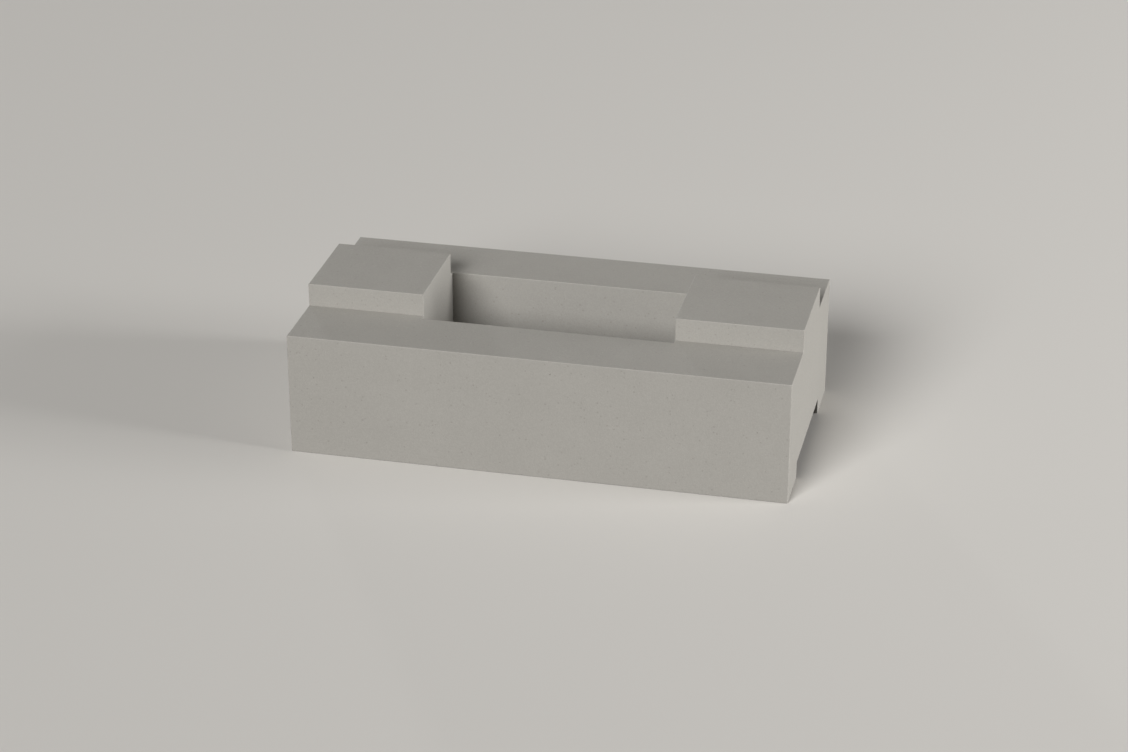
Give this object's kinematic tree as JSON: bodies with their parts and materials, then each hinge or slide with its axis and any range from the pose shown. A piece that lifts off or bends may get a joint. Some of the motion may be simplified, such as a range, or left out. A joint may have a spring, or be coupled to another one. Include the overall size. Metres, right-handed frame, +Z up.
{
  "type": "interlocking concrete block",
  "caption": "Low cast concrete walling block with a raised tongue parted by a rectangular core hole and a shallow groove along its underside, for laying dry in running bond.",
  "frame": {"origin": "middle of the underside, level with the feet", "axes": "+X along the wall, towards the longer tongue pad; +Y across the wall; +Z up, out of the tongue"},
  "size_m": [0.4, 0.2032, 0.1203],
  "materials": {
    "concrete": "smooth matt cast concrete, pale warm grey"
  },
  "bodies": {
    "root": {"block": "concrete"}
  },
  "joints": []
}
